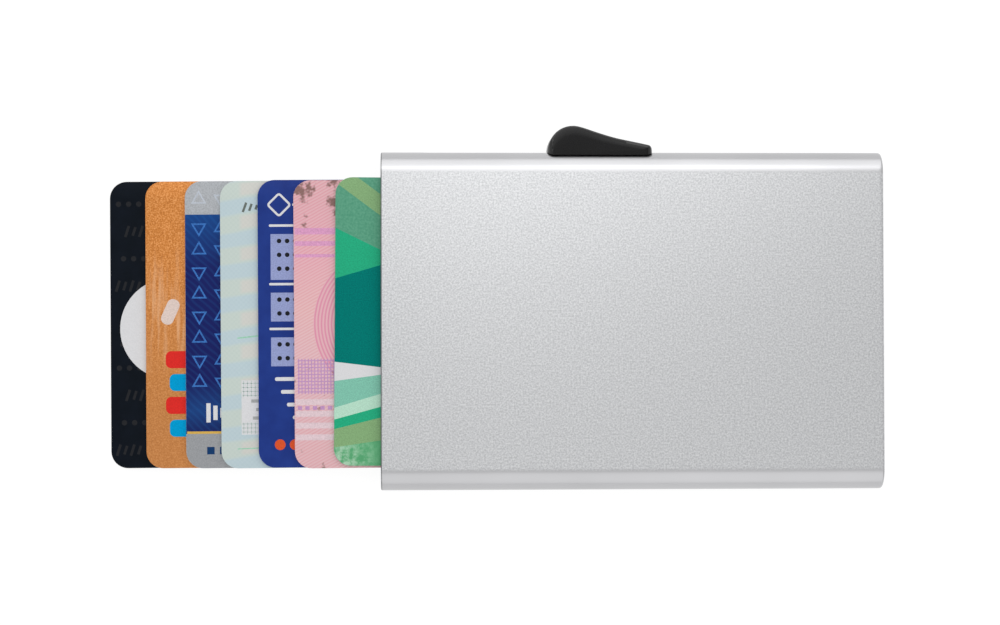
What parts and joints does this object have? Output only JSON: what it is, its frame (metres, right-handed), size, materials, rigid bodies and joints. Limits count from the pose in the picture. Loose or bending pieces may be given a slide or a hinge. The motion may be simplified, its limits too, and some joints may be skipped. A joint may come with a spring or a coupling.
{
  "type": "card holder",
  "caption": "Slim aluminium card holder with rounded long edges, open at one end, with a thumb slider on its edge that fans bank cards out of the mouth.",
  "frame": {"origin": "centre of the flat back face of the sleeve, on which it lies", "axes": "+X runs along the sleeve from the open mouth to the closed end, +Y across the cards to the edge with the thumb slider, +Z through the stack to the front face"},
  "size_m": [0.1457, 0.0685, 0.0086],
  "materials": {
    "anodised_aluminium": "fine sandblasted and clear anodised",
    "cap_aluminium": "satin anodised",
    "black_plastic": "satin moulded",
    "guide_plastic": "plain moulded",
    "felt": "short felt",
    "spring_steel": "rolled strip",
    "black_card": "printed and laminated",
    "orange_card": "printed and laminated",
    "navy_card": "printed and laminated",
    "pale_card": "printed and laminated",
    "blue_card": "printed and laminated",
    "pink_card": "printed and laminated",
    "green_card": "printed and laminated"
  },
  "bodies": {
    "sleeve": {"housing": "anodised_aluminium", "end_cap": "cap_aluminium", "upper_guide_strip": "guide_plastic", "lower_guide_rail": "guide_plastic", "front_felt_pad": "felt", "back_felt_pad": "felt"},
    "slider": {"thumb_button": "black_plastic", "slider_runner": "guide_plastic", "runner_spring": "spring_steel", "stepped_pusher": "guide_plastic", "pusher_pins": "spring_steel"},
    "black_card": {"black_card": "black_card"},
    "orange_card": {"orange_card": "orange_card"},
    "navy_card": {"navy_card": "navy_card"},
    "pale_card": {"pale_card": "pale_card"},
    "blue_card": {"blue_card": "blue_card"},
    "pink_card": {"pink_card": "pink_card"},
    "green_card": {"green_card": "green_card"}
  },
  "joints": [
    {"name": "slider_push", "type": "slide", "parent": "sleeve", "child": "slider", "axis": [-1, 0, 0], "range_m": [0, 0.026]},
    {"name": "black_card_pull", "type": "slide", "parent": "slider", "child": "black_card", "axis": [-1, 0, 0], "range_m": [-0.05094, 0.0359]},
    {"name": "orange_card_pull", "type": "slide", "parent": "slider", "child": "orange_card", "axis": [-1, 0, 0], "range_m": [-0.04496, 0.0425]},
    {"name": "navy_card_pull", "type": "slide", "parent": "slider", "child": "navy_card", "axis": [-1, 0, 0], "range_m": [-0.03813, 0.0501]},
    {"name": "pale_card_pull", "type": "slide", "parent": "slider", "child": "pale_card", "axis": [-1, 0, 0], "range_m": [-0.03217, 0.0567]},
    {"name": "blue_card_pull", "type": "slide", "parent": "slider", "child": "blue_card", "axis": [-1, 0, 0], "range_m": [-0.02586, 0.0637]},
    {"name": "pink_card_pull", "type": "slide", "parent": "slider", "child": "pink_card", "axis": [-1, 0, 0], "range_m": [-0.01977, 0.0705]},
    {"name": "green_card_pull", "type": "slide", "parent": "slider", "child": "green_card", "axis": [-1, 0, 0], "range_m": [-0.01284, 0.0782]}
  ]
}
